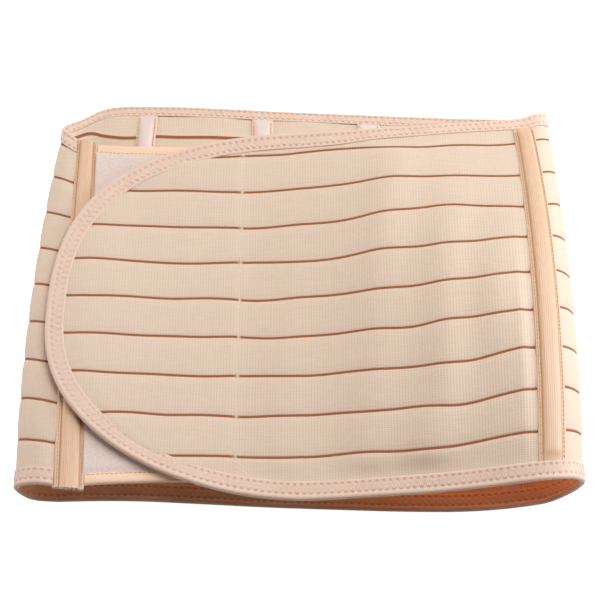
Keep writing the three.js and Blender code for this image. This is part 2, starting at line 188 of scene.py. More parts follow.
column = {name: np.array([row[k] for row in SECTIONS]) for k, name in enumerate(COLUMNS) if k}
band_height = STRIP * STRIPS + column["over"] * OVER + column["under"] * UNDER
hem = np.stack([
    column["hemX"] * HALF_WIDTH,
    column["hemY"] * STRIP * STRIPS,
    column["hemZ"] * LIFT + column["on"] * STACK + TABLE_GAP,
], 1)
top = np.stack([
    column["topX"] * HALF_WIDTH,
    column["hemY"] * 0,
    column["topZ"] * LIFT + column["on"] * STACK + TABLE_GAP,
], 1)
top[:, 1] = hem[:, 1] + np.sqrt(
    band_height**2 - (top[:, 0] - hem[:, 0]) ** 2 - (top[:, 2] - hem[:, 2]) ** 2
)
swell = np.stack([column["bow"] * LIFT, column["hemY"] * 0, column["crown"] * LIFT], 1)


def smooth_curve(points, place):
    """A centripetal Catmull-Rom curve through points, at places counted in sections."""
    ends = [2 * points[0] - points[1]], [2 * points[-1] - points[-2]]
    points = np.concatenate([ends[0], points, ends[1]])
    k = np.clip(np.floor(place).astype(int), 0, len(points) - 4)
    share = (place - k)[..., None]
    p0, p1, p2, p3 = points[k], points[k + 1], points[k + 2], points[k + 3]
    pairs = ((p0, p1), (p1, p2), (p2, p3))
    gap = [np.sqrt(np.linalg.norm(b - a, axis=-1))[..., None] for a, b in pairs]
    middle = np.where(gap[1] < SAME_POINT, 1.0, gap[1])
    before = np.where(gap[0] < SAME_POINT, middle, gap[0])
    after = np.where(gap[2] < SAME_POINT, middle, gap[2])
    leave = ((p1 - p0) / before - (p2 - p0) / (before + middle) + (p2 - p1) / middle) * middle
    arrive = ((p2 - p1) / middle - (p3 - p1) / (middle + after) + (p3 - p2) / after) * middle
    cubic = (2 * p1 - 2 * p2 + leave + arrive) * share**3
    square = (-3 * p1 + 3 * p2 - 2 * leave - arrive) * share**2
    return cubic + square + leave * share + p1


def middle_of_cloth(place, share):
    low, high, bulge = (smooth_curve(points, place) for points in (hem, top, swell))
    share = np.asarray(share)[..., None]
    point = low * (1 - share) + high * share + bulge * 4 * share * (1 - share)
    point[..., 2] = np.maximum(point[..., 2], TABLE_GAP)
    return point


def on_band(place, share, out=0.0):
    """Points of the band in metres, at places and shares of its height, moved out by mm."""
    place, share, out = np.broadcast_arrays(*(np.asarray(v, float) for v in (place, share, out)))
    step = 1e-3
    along = middle_of_cloth(np.minimum(place + step, LAST), share) - middle_of_cloth(
        np.maximum(place - step, 0), share
    )
    up = middle_of_cloth(place, share + step) - middle_of_cloth(place, share - step)
    normal = np.cross(along, up)
    normal /= np.linalg.norm(normal, axis=-1)[..., None]
    return (middle_of_cloth(place, share) + normal * out[..., None] + FRAME_SHIFT) / 1000


fine_places = np.linspace(0, LAST, int(LAST) * PLACES + 1)
fine_middle = middle_of_cloth(fine_places, np.full(len(fine_places), 0.5))
steps = np.linalg.norm(np.diff(fine_middle, axis=0), axis=1)
fine_runs = np.concatenate([[0], np.cumsum(steps)])
middle_x = fine_middle[:, 0]


def run_at(place):
    """Millimetres along the middle of the band."""
    return np.interp(place, fine_places, fine_runs)


def place_at(run):
    return np.interp(run, fine_runs, fine_places)


def place_at_x(x, first, last):
    window = (fine_places >= first) & (fine_places <= last)
    xs, places = middle_x[window], fine_places[window]
    return float(np.interp(x, xs, places) if xs[-1] > xs[0] else np.interp(-x, -xs, places))


def height_at(place):
    return np.interp(place, np.arange(len(SECTIONS)), band_height)


def bottom_line_at(place):
    return np.interp(place, np.arange(len(SECTIONS)), column["under"] * UNDER)


# Ribbed elastic. A flat woven elastic of covered rubber and cotton yarn, matte and soft. Fine ribs
# run round the body, weft crosses them, and every 25 mm one thick brown yarn pulls the cloth in,
# so that the strips between stand slightly proud.
RIB = 1.3  # ribs and weft are drawn a little coarser than the real ones, so that they show
WEFT = 1.7
ROWS_BETWEEN = 8
LINE_DEPTHS = {0.55: -0.42, 1.0: -0.16, 1.7: 0.0}  # of the face, at distances from a brown line
LINE_ROWS = sorted([-near for near in LINE_DEPTHS] + list(LINE_DEPTHS))
LINE_REACH = LINE_ROWS[-1]
YARN_HALF = 0.8
STRIP_RISE = 0.42
STRIP_FULLNESS = 1.6
RELIEF_SHARE = 0.9  # what the cloth's stiffness leaves of its relief
SEAM_FADE = 0.9  # the length over which a brown yarn comes back beside a seam that hides it
SEAM_PALE = 0.35  # the share of that length where it stays hidden


def cloth_piece(name, points, uv, thickness, line=None, line_name="brown_yarn"):
    """A grid of cloth bent onto points[column, row], with its uv in metres and its own thickness
    in mm below the face. line is a share at each corner, such as that of the brown yarn."""
    columns, rows = points.shape[:2]
    bm = bmesh.new()
    bmesh.ops.create_grid(bm, x_segments=columns - 1, y_segments=rows - 1, size=0.5)
    for edge in bm.edges:
        edge.smooth = not edge.is_boundary
    mesh = bpy.data.meshes.new(name)
    bm.to_mesh(mesh)
    bm.free()
    flat = np.zeros(len(mesh.vertices) * 3)
    mesh.vertices.foreach_get("co", flat)
    flat = flat.reshape(-1, 3)
    i = np.rint((flat[:, 0] + 0.5) * (columns - 1)).astype(int)
    j = np.rint((flat[:, 1] + 0.5) * (rows - 1)).astype(int)
    mesh.vertices.foreach_set("co", points[i, j].reshape(-1))
    corner = np.zeros(len(mesh.loops), dtype=int)
    mesh.loops.foreach_get("vertex_index", corner)
    layer = mesh.uv_layers.new(name="cloth")
    layer.data.foreach_set("uv", uv[i[corner], j[corner]].reshape(-1))
    if line is not None:
        share = mesh.attributes.new(line_name, "FLOAT", "POINT")
        share.data.foreach_set("value", line[i, j])
    mesh.polygons.foreach_set("use_smooth", [True] * len(mesh.polygons))
    mesh.update()
    piece = bpy.data.objects.new(name, mesh)
    scene.collection.objects.link(piece)
    wall = piece.modifiers.new("thickness", "SOLIDIFY")
    wall.thickness = thickness / 1000
    wall.offset = -1
    wall.use_even_offset = False
    return piece


def elastic_rows(place, low_edge, high_edge, wander):
    """Heights over the hem, yarn share, depth and uv level of each row, for an array of places."""
    lines = [bottom_line_at(place) + k * STRIP + wander(k, place) for k in range(STRIPS + 1)]
    knots = [low_edge] + lines + [high_edge]
    heights, yarn, depth, level = [], [], [], []
    for k in range(STRIPS + 2):
        has_low, has_high = k > 0, k <= STRIPS
        low = knots[k] + (LINE_REACH if has_low else 0.0)
        high = knots[k + 1] - (LINE_REACH if has_high else 0.0)
        for m in range(int(has_low), ROWS_BETWEEN + int(not has_high)):
            share = m / ROWS_BETWEEN
            heights.append(low * (1 - share) + high * share)
            yarn.append(0.0)
            inner = 4 * share * (1 - share) if has_low and has_high else 0.0
            depth.append(STRIP_RISE * min(1.0, inner * STRIP_FULLNESS))
            level.append((k - 1 + share) * STRIP)
        if has_high:
            for near in LINE_ROWS:
                heights.append(knots[k + 1] + near)
                yarn.append(1.0 if abs(near) < YARN_HALF else 0.0)
                depth.append(LINE_DEPTHS[abs(near)])
                level.append(k * STRIP + near)
    return np.array(heights), np.array(yarn), np.array(depth), np.array(level)


def elastic_panel(name, starts, end_run, columns, low_edge, high_edge, wander, relief, breaks=()):
    """A panel from starts, the run at each share of the height, to end_run, between two edges.
    breaks are the runs of seams that hide the brown yarns."""
    _, yarn, depth, level = elastic_rows(np.array([0.0]), low_edge(0.0), high_edge(0.0), wander)
    rows = len(level)
    start = starts(np.full(rows, 0.5))
    for _ in range(5):
        place = place_at(start)
        height = np.diagonal(elastic_rows(place, low_edge(place), high_edge(place), wander)[0])
        start = starts(height / height_at(place))
    along = np.linspace(0, 1, columns)[:, None]
    run = start[None, :] * (1 - along) + end_run * along
    place = place_at(run)
    height = np.zeros((columns, rows))
    for i in range(columns):
        exact = elastic_rows(place[i], low_edge(place[i]), high_edge(place[i]), wander)[0]
        height[i] = np.diagonal(exact)
    lift = np.broadcast_to(depth, (columns, rows)) + relief(run, height)
    yarn = np.broadcast_to(yarn, (columns, rows)).copy()
    for seam in breaks:
        yarn *= np.clip(np.abs(run - seam) / SEAM_FADE - SEAM_PALE, 0, 1)
    uv = np.stack([run / 1000, np.broadcast_to(level, (columns, rows)) / 1000], -1)
    points = on_band(place, height / height_at(place), CLOTH / 2 + lift * RELIEF_SHARE)
    return cloth_piece(name, points, uv, CLOTH, line=yarn)


def cloth_material(name, colour, roughness, sheen):
    """A cloth or thread. colour is the flat one that a copy without the pattern shows."""
    material = bpy.data.materials.new(name)
    material.use_nodes = True
    shader = material.node_tree.nodes["Principled BSDF"]
    fill(shader, {
        "Base Color": linear(colour), "Roughness": roughness, "IOR": 1.5,
        "Specular IOR Level": 0.25, "Sheen Weight": sheen, "Sheen Roughness": 0.5,
    })
    return material, material.node_tree, shader


def cloth_uv(tree):
    """The cloth's own uv in metres, as X and Y."""
    uv = add_node(tree, "UVMap", uv_map="cloth")
    return add_node(tree, "SeparateXYZ", {"Vector": uv})


def stripes(tree, across, spacing):
    """A wave that repeats every spacing mm of a coordinate in metres."""
    turned = add_node(tree, "Math", {0: across, 1: 2000 * math.pi / spacing}, operation="MULTIPLY")
    return add_node(tree, "Math", {0: turned}, operation="SINE")


# Dull cotton-covered elastic: rough and faintly hairy, with ribs, slubs 8 mm long and 1.5 mm high,
# and slightly pinker and yellower patches some 35 mm across.
elastic, tree, shader = cloth_material("ribbed_elastic", "e6d0b9", 0.88, 0.08)
apart = cloth_uv(tree)
ribs = stripes(tree, apart.outputs["Y"], RIB)
weft = stripes(tree, apart.outputs["X"], WEFT)
woven = add_node(tree, "Math", {0: ribs, 1: 0.6, 2: weft}, operation="MULTIPLY_ADD")
place = add_node(tree, "TexCoord")
slub_map = add_node(tree, "Mapping", {"Vector": place.outputs["Object"], "Scale": (120, 700, 700)})
slub = add_node(tree, "TexNoise", {"Vector": slub_map, "Scale": 1.0, "Detail": 3.0})
patch = add_node(
    tree, "TexNoise", {"Vector": place.outputs["Object"], "Scale": 28.0, "Detail": 2.0},
)
warm = add_node(
    tree, "Mix", {"Factor": patch.outputs["Fac"], 6: linear("dfcab6"), 7: linear("ddcdb5")},
    data_type="RGBA",
)
grain = add_node(
    tree, "MapRange",
    {"Value": woven, "From Min": -1.6, "From Max": 1.6, "To Min": 0.966, "To Max": 1.016},
)
grained = add_node(tree, "VectorMath", {0: warm.outputs[2], "Scale": grain}, operation="SCALE")
streak = add_node(
    tree, "MapRange",
    {
        "Value": slub.outputs["Fac"], "From Min": 0.3, "From Max": 0.7, "To Min": 0.97,
        "To Max": 1.02,
    },
)
streaked = add_node(tree, "VectorMath", {0: grained, "Scale": streak}, operation="SCALE")
yarn = add_node(tree, "Attribute", attribute_name="brown_yarn")
coloured = add_node(
    tree, "Mix", {"Factor": yarn.outputs["Fac"], 6: streaked, 7: linear("9b5d3b")},
    data_type="RGBA",
)
fill(shader, {"Base Color": coloured.outputs[2]})
bump = add_node(tree, "Bump", {"Height": woven, "Strength": 0.2, "Distance": 0.0002})
fine = add_node(
    tree, "Bump",
    {"Height": slub.outputs["Fac"], "Strength": 0.3, "Distance": 0.0003, "Normal": bump},
)
fill(shader, {"Normal": fine})

right_run, left_run = float(run_at(RIGHT_SEAM)), float(run_at(LEFT_SEAM))
WAVE_HEIGHT = 0.22
rng = np.random.default_rng(7)
wave_phase = rng.uniform(0, 6.28, (STRIPS + 1, 3))
wave_length = rng.uniform(40, 110, (STRIPS + 1, 3))

# Where the brown lines visibly leave their even place: lines counted from the hem, how far before
# the right seam, half the length and the height of each bend.
LINE_BENDS = [
    ((8,), 16, 30, -1.6), ((7,), 8, 28, -3.6), ((6,), 2, 20, -3.6), ((5,), 2, 20, -1.1),
    ((7,), 92, 38, 1.8), ((6,), 72, 38, 2.4), ((8,), 105, 26, 1.2),
    ((0, 1, 2, 3), 78, 46, -1.8), ((4,), 80, 40, -0.8), (tuple(range(8)), 148, 30, -1.2),
    ((8,), 190, 34, -2.6), ((6, 7), 200, 70, -1.6), ((5,), 200, 60, -0.9),
    ((1, 2), 54, 22, -2.4), ((3, 4), 24, 20, -1.4),
    ((8,), -283, 22, -1.6), ((8,), -316, 16, -2.4), ((8,), -348, 13, 4.0),
]


def wander(k, place):
    """How far a brown line strays from its even place: the yarn is pulled a little in sewing."""
    run = run_at(place)
    waves = [np.sin(2 * math.pi * run / wave_length[k, m] + wave_phase[k, m]) for m in range(3)]
    bends = [
        rise * np.exp(-(((run - right_run + before) / half) ** 2))
        for lines, before, half, rise in LINE_BENDS
        if k in lines
    ]
    return WAVE_HEIGHT * sum(waves) + sum(bends)


# Back panel. One piece of ribbed elastic from the right side seam round both folds to the left
# side seam. It is cut level at the top and sweeps lower at the bottom, and its cut edges are
# sewn into the edge tapes.
TUCK = 1.2  # how deep a cut edge lies inside its folded tape
SEAM_ROOM = 0.2  # how far short of its seam's line a panel stops
RIPPLE = 0.5  # faint ripples, which fade towards both seams
RIPPLE_LONG, RIPPLE_HIGH = 61, 170
RIPPLE_FADE = 40
BACK_SET_IN = 0.1


def back_relief(run, height):
    along = np.sin(2 * math.pi * run / RIPPLE_LONG + 0.6)
    up = np.sin(2 * math.pi * height / RIPPLE_HIGH + 1)
    after = np.clip((run - right_run) / RIPPLE_FADE, 0, 1)
    before = np.clip((left_run - run) / RIPPLE_FADE, 0, 1)
    return RIPPLE * along * up * after * before - BACK_SET_IN


back_panel = elastic_panel(
    "back_panel_cloth",
    lambda share: right_run + SEAM_ROOM + 0 * share,
    left_run - SEAM_ROOM,
    230,
    lambda place: TUCK + 0 * place,
    lambda place: height_at(place) - TUCK,
    wander,
    back_relief,
)
back_panel.data.materials.append(elastic)
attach(back_panel, "root")
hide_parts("back_panel")

# Front flap. Ribbed elastic from the right side seam to a rounded end. A hook tape is sewn on
# underneath, and the seam where it ends shows as a pale upright line that breaks the brown yarns.
TIP_REACH = 0.94 * HALF_WIDTH
TIP_HEIGHT = 4.28 * STRIP
TIP_TOP_RUN = 0.98 * HALF_WIDTH
TIP_BOTTOM_RUN = 1.02 * HALF_WIDTH
TIP_TOP_FULLNESS = 0.78
TIP_BOTTOM_FULLNESS = 0.88
HOOK_RUN = 0.715 * HALF_WIDTH
FLAP_HEIGHT = float(height_at(1.0))
tip_run = float(run_at(place_at_x(-TIP_REACH, 0, 2)))


def outline_point(angle, inset):
    """The run and height of the flap's outline, from the bottom edge (-90 degrees) to the top."""
    above = angle > 0
    across = np.where(above, TIP_TOP_RUN, TIP_BOTTOM_RUN)
    reach = np.where(above, FLAP_HEIGHT - TIP_HEIGHT, TIP_HEIGHT)
    full = np.where(above, TIP_TOP_FULLNESS, TIP_BOTTOM_FULLNESS)
    run = tip_run + across - (across - inset) * np.abs(np.cos(angle)) ** full
    level = TIP_HEIGHT + (reach - inset) * np.sign(np.sin(angle)) * np.abs(np.sin(angle)) ** full
    return run, level


outline_angles = np.linspace(-math.pi / 2, math.pi / 2, 721)


def flap_start(inset):
    runs, levels = outline_point(outline_angles, inset)
    return lambda share: np.interp(share * FLAP_HEIGHT, levels, runs)


# Soft folds: how far after the hook tape's seam and how high over the hem each has its middle, half
# its width, half its height, how much it rises, and how far it leans for each millimetre up.
FOLDS = [
    (26, 60, 14, 70, 1.6, 0.05),
    (86, 165, 17, 75, 4.2, 0.12),
    (78, 40, 15, 55, 3.0, 0.12),
    (124, 140, 13, 50, 3.0, 0.1),
    (121, 66, 13, 40, 4.2, 0.1),
    (150, 112, 12, 34, 3.2, 0.1),
    (178, 82, 33, 62, 4.3, 0.05),
    (106, 30, 14, 24, 3.6, 0.1),
    (52 - HOOK_RUN, 190, 16, 60, -1.4, 0.1),
]
TAPE_HOLD, TAPE_FADE = 10.5, 11  # no fold reaches under the edge tape
CASING_HOLD, CASING_FADE = 8.5, 8  # or under the right casing
HOOK_RISE, HOOK_FADE = 0.9, 8
SEAM_DIP, SEAM_HALF = 0.3, 1.3


def flap_relief(run, height):
    """The hook tape lifts the cloth as far as its seam, and soft folds run up the rest."""
    seam = tip_run + HOOK_RUN
    full = height_at(place_at(run))
    inward = np.minimum(run - flap_start(0)(height / full), np.minimum(height, full - height))
    free = np.clip((inward - TAPE_HOLD) / TAPE_FADE, 0, 1)
    free = free * np.clip((right_run - CASING_HOLD - run) / CASING_FADE, 0, 1)
    free = free * free * (3 - 2 * free)
    relief = HOOK_RISE * np.clip((seam + HOOK_FADE / 2 - run) / HOOK_FADE, 0, 1)
    relief = relief - SEAM_DIP * np.exp(-(((run - seam) / SEAM_HALF) ** 2))
    for after, level, half_run, half_height, rise, lean in FOLDS:
        across = (run - seam - after - lean * (height - level)) / half_run
        up = (height - level) / half_height
        relief = relief + rise * np.exp(-(across**2)) * np.exp(-(up**2))
    return free * relief


flap_panel = elastic_panel(
    "flap_panel_cloth",
    flap_start(TUCK),
    right_run - SEAM_ROOM,
    210,
    lambda place: TUCK + 0 * place,
    lambda place: height_at(place) - TUCK,
    wander,
    flap_relief,
    breaks=[tip_run + HOOK_RUN],
)
flap_panel.data.materials.append(elastic)
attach(flap_panel, "root")
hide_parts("flap_panel")

# Landing. The other end of the band, which the flap closes over. It is the same elastic, running
# from the left side seam to a hidden end, and pulled in a little by its narrow edge tapes.
LANDING_REACH = 0.14 * HALF_WIDTH  # how far past the middle its hidden end lies
LANDING_DROP = 9  # how far its hem is drawn in there
LANDING_EASE = 0.5
LANDING_DIP = 6  # and its top
LANDING_TAPE = 7  # the width of its folded tapes
landing_run = float(run_at(place_at_x(LANDING_REACH, LEFT_SEAM, LAST)))


def landing_low(place):
    share = np.maximum(place - LEFT_SEAM, 0) / (LAST - LEFT_SEAM)
    return LANDING_DROP * share**LANDING_EASE


def landing_high(place):
    return height_at(place) - LANDING_DIP * (place - LEFT_SEAM) / (LAST - LEFT_SEAM)


def no_relief(run, height):
    return 0 * run


landing_panel = elastic_panel(
    "landing_panel_cloth",
    lambda share: left_run + SEAM_ROOM + 0 * share,
    landing_run - TUCK,
    90,
    lambda place: landing_low(place) + TUCK,
    lambda place: landing_high(place) - TUCK,
    wander,
    no_relief,
)
landing_panel.data.materials.append(elastic)
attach(landing_panel, "root")
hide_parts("landing_panel")

# Loop facing. A brushed nylon loop fabric, greyer than the elastic, sewn over the whole landing.
# The nap is a felt of fine crossed loops, dull, with a faint bloom and hardly any pattern.
CASING_WIDTH = 16
LAP = 0.6  # how far a piece reaches under the tape or casing that covers its edge
LOOP_PILE = 1.0
LOOP_BACKING = 0.35
LOOP_NAP = 0.06  # how unevenly the pile stands
FACING_HEIGHT = 220
PILE_EDGE = 3  # the pile is pressed down this near the tapes
PILE_PRESSED = 0.4
facing_runs = np.linspace(left_run + CASING_WIDTH / 2 - LAP, landing_run - LANDING_TAPE, 120)
facing_share = np.linspace(0, 1, 160)
facing_place = place_at(facing_runs)[:, None]
facing_low = landing_low(facing_place) + LANDING_TAPE - LAP
facing_high = landing_high(facing_place) - LANDING_TAPE + LAP
facing_level = facing_low * (1 - facing_share) + facing_high * facing_share
nap = rng.normal(0, LOOP_NAP, facing_level.shape)
edge = np.minimum(facing_share, 1 - facing_share)[None, :] * FACING_HEIGHT
pile = LOOP_PILE * np.clip(edge / PILE_EDGE, PILE_PRESSED, 1)
facing_out = CLOTH / 2 + LOOP_BACKING + pile + nap
loop_facing = cloth_piece(
    "loop_facing_nap",
    on_band(facing_place, facing_level / height_at(facing_place), facing_out),
    np.stack([np.broadcast_to(facing_runs[:, None], facing_level.shape), facing_level], -1) / 1000,
    thickness=0.9,
)

# Brushed nylon: rough and greyish, with a soft mottle about 1 mm across. That is coarser than the
# real loops, so that it shows.
loop_nap, tree, shader = cloth_material("brushed_nylon_loop", "e2d2ca", 0.95, 0.3)
place = add_node(tree, "TexCoord")
fuzz = add_node(
    tree, "TexNoise",
    {"Vector": place.outputs["Object"], "Scale": 900.0, "Detail": 4.0, "Roughness": 0.7},
)
mottle = add_node(
    tree, "MapRange", {"Value": fuzz.outputs["Fac"], "From Min": 0.3, "From Max": 0.7},
)
shade = add_node(
    tree, "Mix", {"Factor": mottle, 6: linear("d8c7bd"), 7: linear("e8dacf")}, data_type="RGBA",
)
fill(shader, {"Base Color": shade.outputs[2]})
raised = add_node(
    tree, "Bump", {"Height": fuzz.outputs["Fac"], "Strength": 0.7, "Distance": 0.0005},
)
fill(shader, {"Normal": raised})
loop_facing.data.materials.append(loop_nap)
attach(loop_facing, "root")
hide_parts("loop_facing")

# Hook tape. A stiff woven tape with rows of tiny moulded hooks, sewn under the flap's rounded end
# and hidden there when the binder is closed.
HOOK_INSET = 19  # from the flap's outline
HOOK_HEM = 1  # from its seam
HOOK_GAP = 0.4  # under the flap's cloth
hook_levels = np.linspace(HOOK_INSET, FLAP_HEIGHT - HOOK_INSET, 110)
inset_runs, inset_levels = outline_point(outline_angles, HOOK_INSET)
hook_from = np.interp(hook_levels, inset_levels, inset_runs)
hook_share = np.linspace(0, 1, 60)[:, None]
hook_runs = hook_from[None, :] * (1 - hook_share) + (tip_run + HOOK_RUN - HOOK_HEM) * hook_share
hook_height = np.broadcast_to(hook_levels, hook_runs.shape)
hook_tape = cloth_piece(
    "hook_tape_cloth",
    on_band(place_at(hook_runs), hook_height / FLAP_HEIGHT, -CLOTH / 2 - HOOK_GAP),
    np.stack([hook_runs, hook_height], -1) / 1000,
    thickness=1.1,
)

# Moulded nylon: smoother than the cloth, with the heads of the hooks in rows 1.4 mm apart.
hooks, tree, shader = cloth_material("nylon_hook_tape", "e2d0bd", 0.6, 0.0)
place = add_node(tree, "TexCoord")
rows = add_node(
    tree, "TexVoronoi", {"Vector": place.outputs["Object"], "Scale": 700.0, "Randomness": 0.2},
)
raised = add_node(
    tree, "Bump", {"Height": rows.outputs["Distance"], "Strength": 0.6, "Distance": 0.0005},
)
fill(shader, {"Normal": raised})
hook_tape.data.materials.append(hooks)
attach(hook_tape, "root")
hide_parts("hook_tape")

# Edge tapes. A soft knitted tape is folded over every cut edge. It is held by a zigzag of two
# stitches to a leg, which flattens its inner part, while the fold stays as a plain round roll.
TAPE_WIDTH = 10
INNER_TOP_WIDTH = 7
TAPE_THICK = 0.32
TAPE_MEASURED = 0.7  # the share across a tape where its length is taken
PUCKER_LENGTH = 4.2  # of the small waves that the needle pulls into it
SLACK, SLACK_LENGTH = 0.04, 37  # and of its slow swelling
NEEDLE_STEP = 1.9  # along the tape, from one turn of the zigzag to the next
ZIGZAG_FROM, ZIGZAG_TO = 0.32, 0.80
STITCHES_IN_LEG = 2
# The tape's section: shares across it, and how far its face stands off the middle of the cloth.
ROLL = [
    (0.0, 0.0), (0.01, 0.7), (0.03, 1.2), (0.07, 1.55), (0.12, 1.72), (0.17, 1.74), (0.22, 1.64),
    (0.27, 1.48), (0.31, 1.4), (0.4, 1.48), (0.58, 1.52), (0.72, 1.44), (0.8, 1.36), (0.88, 1.44),
    (0.95, 1.4), (0.985, 1.28), (1.0, 0.95),
]


class TapePath:
    """Stations along a cut edge: where the tape's fold is and where its rim is, as runs along the
    band and shares of its height."""

    def __init__(self, fold_run, fold_share, rim_run, rim_share):
        self.fold = np.stack([fold_run, fold_share], -1)
        self.rim = np.stack([rim_run, rim_share], -1)
        middle = self.point(TAPE_MEASURED, 0)
        steps = np.linalg.norm(np.diff(middle, axis=0), axis=1) * 1000
        self.length = np.concatenate([[0], np.cumsum(steps)])

    def point(self, across, out, at=None):
        """Points at shares across the tape, out from the cloth, at every station or at lengths."""
        fold, rim = self.fold, self.rim
        if at is not None:
            fold = np.stack([np.interp(at, self.length, fold[:, k]) for k in (0, 1)], -1)
            rim = np.stack([np.interp(at, self.length, rim[:, k]) for k in (0, 1)], -1)
        across = np.asarray(across)[..., None]
        spot = fold * (1 - across) + rim * across
        return on_band(place_at(spot[..., 0]), spot[..., 1], out)


def straight_path(first_run, last_run, low, high, upper, width, count):
    runs = np.linspace(first_run, last_run, count)
    if upper:
        runs = runs[::-1]
    place = place_at(runs)
    fold = high(place) if upper else low(place)
    rim = fold - width if upper else fold + width
    return TapePath(runs, fold / height_at(place), runs, rim / height_at(place))


def folded_tape(name, path, roll, inner, width, pucker, needled=1.0):
    """The tape itself. Its section runs from the inner rim round the fold to the outer rim, inner
    is the inner width as a share of the outer one, and the needle's pull puckers it. needled is
    how deep the needle's pits are, from 0 to 1."""
    section = [(across, -out) for across, out in roll[:0:-1]] + roll
    points = np.zeros((len(path.fold), len(section), 3))
    uv = np.zeros((len(path.fold), len(section), 2))
    for j, (across, out) in enumerate(section):
        uv[:, j, 0] = path.length / 1000
        uv[:, j, 1] = across * width / 1000
        across *= inner if out < 0 else 1
        pull = np.sin(path.length * 2 * math.pi / PUCKER_LENGTH + 9 * across)
        pull = pucker * pull * min(1, 2.5 * across)
        wave = np.sin(path.length * 2 * math.pi / SLACK_LENGTH + (3 if out < 0 else 0))
        wave = 1 + SLACK * wave
        points[:, j] = path.point(across, out * wave + np.sign(out) * pull)
    depth = np.broadcast_to(np.reshape(needled, (-1, 1)), points.shape[:2]).copy()
    return cloth_piece(name, points, uv, TAPE_THICK, depth, "needle_depth")


def stitch_thread(name, starts, ends, normals, thick):
    """Short thread stitches, each a small bead stretched from hole to hole. The first bead passes
    through a mesh, so that its copies follow it in order. thick is in metres."""
    bm = bmesh.new()
    bmesh.ops.create_uvsphere(bm, u_segments=6, v_segments=4, radius=1)
    mesh = bpy.data.meshes.new(name)
    bm.to_mesh(mesh)
    bm.free()
    bm = bmesh.new()
    bm.from_mesh(mesh)
    bead = np.array([vert.co for vert in bm.verts])
    while len(bm.verts) < len(bead) * len(starts):
        bmesh.ops.duplicate(bm, geom=bm.verts[:] + bm.edges[:] + bm.faces[:])
    spare = bm.verts[:][len(bead) * len(starts) :]
    bmesh.ops.delete(bm, geom=spare, context="VERTS")
    bm.to_mesh(mesh)
    bm.free()
    length = np.linalg.norm(ends - starts, axis=-1)[:, None]
    along = (ends - starts) / length
    side = np.cross(normals, along)
    side /= np.linalg.norm(side, axis=-1)[:, None]
    frame_of = np.stack([side * thick, np.cross(along, side) * thick, along * length * 0.54], 1)
    spots = (starts + ends)[:, None, :] / 2 + np.einsum("vk,skc->svc", bead, frame_of)
    mesh.vertices.foreach_set("co", spots.reshape(-1))
    mesh.polygons.foreach_set("use_smooth", [True] * len(mesh.polygons))
    mesh.update()
    piece = bpy.data.objects.new(name, mesh)
    scene.collection.objects.link(piece)
    return piece


def zigzag(path, side, share=1.0):
    """Ends and normals of the zigzag on one face of a tape: side is 1 outside and -1 inside, and
    share is the face's width over that of the outer one."""
    legs = int(path.length[-1] / NEEDLE_STEP) - 1
    leg = np.repeat(np.arange(legs), STITCHES_IN_LEG)
    step = np.tile(np.arange(STITCHES_IN_LEG), legs)
    first, last = ZIGZAG_FROM * share, ZIGZAG_TO * share
    spots = []
    for part in ((step + 0.04) / STITCHES_IN_LEG, (step + 0.96) / STITCHES_IN_LEG):
        across = first + (last - first) * np.where(leg % 2 == 0, part, 1 - part)
        at = (leg + part) * NEEDLE_STEP
        spots.append(path.point(across, side * 1.5, at))
    return spots[0], spots[1], path.point(across, side * 3.0, at) - path.point(across, side, at)


# Knitted polyester tape: matte, soft and pinker than the elastic, with a fine uneven knit.
knitted, tree, shader = cloth_material("knitted_edge_tape", "ecd0bb", 0.85, 0.15)
apart = cloth_uv(tree)
place = add_node(tree, "TexCoord")
stitchy = add_node(
    tree, "TexNoise",
    {"Vector": place.outputs["Object"], "Scale": 1300.0, "Detail": 2.0},
)

# The needle leaves a small pit at each turn of the zigzag. Its colour is painted darker than the
# tape round it, as the shade that falls in the pit.
PIT_RADII = (0.2, 1.3)
turn = add_node(tree, "Math", {0: apart.outputs["X"], 1: NEEDLE_STEP / 1000}, operation="PINGPONG")
back = add_node(tree, "Math", {0: NEEDLE_STEP / 1000, 1: turn}, operation="SUBTRACT")
inner_row = add_node(
    tree, "Math", {0: apart.outputs["Y"], 1: TAPE_WIDTH * ZIGZAG_FROM / 1000}, operation="SUBTRACT",
)
outer_row = add_node(
    tree, "Math", {0: apart.outputs["Y"], 1: TAPE_WIDTH * ZIGZAG_TO / 1000}, operation="SUBTRACT",
)
inner_pit = add_node(tree, "CombineXYZ", {"X": turn, "Y": inner_row})
outer_pit = add_node(tree, "CombineXYZ", {"X": back, "Y": outer_row})
inner_far = add_node(tree, "VectorMath", {0: inner_pit}, operation="LENGTH")
outer_far = add_node(tree, "VectorMath", {0: outer_pit}, operation="LENGTH")
far = add_node(
    tree, "Math", {0: inner_far.outputs["Value"], 1: outer_far.outputs["Value"]},
    operation="MINIMUM",
)
near = add_node(
    tree, "MapRange",
    {
        "Value": far, "From Min": PIT_RADII[0] / 1000, "From Max": PIT_RADII[1] / 1000,
        "To Min": 1.0, "To Max": 0.0,
    },
)
needled = add_node(tree, "Attribute", attribute_name="needle_depth")
pit = add_node(tree, "Math", {0: near, 1: needled.outputs["Fac"]}, operation="MULTIPLY")
away = add_node(tree, "Math", {0: 1.0, 1: pit}, operation="SUBTRACT")
shade = add_node(
    tree, "Mix", {"Factor": stitchy.outputs["Fac"], 6: linear("dbc0ab"), 7: linear("e9d3c1")},
    data_type="RGBA",
)
# Painted shade: the tape's colour darkens towards cda389 inside each needle pit.
pit_shaded = add_node(
    tree, "Mix", {"Factor": away, 6: linear("cda389"), 7: shade.outputs[2]}, data_type="RGBA",
)
fill(shader, {"Base Color": pit_shaded.outputs[2]})
valley = add_node(tree, "Bump", {"Height": away, "Strength": 0.5, "Distance": 0.0005})
knit = add_node(
    tree, "Bump",
    {"Height": stitchy.outputs["Fac"], "Strength": 0.35, "Distance": 0.0003, "Normal": valley},
)
fill(shader, {"Normal": knit})

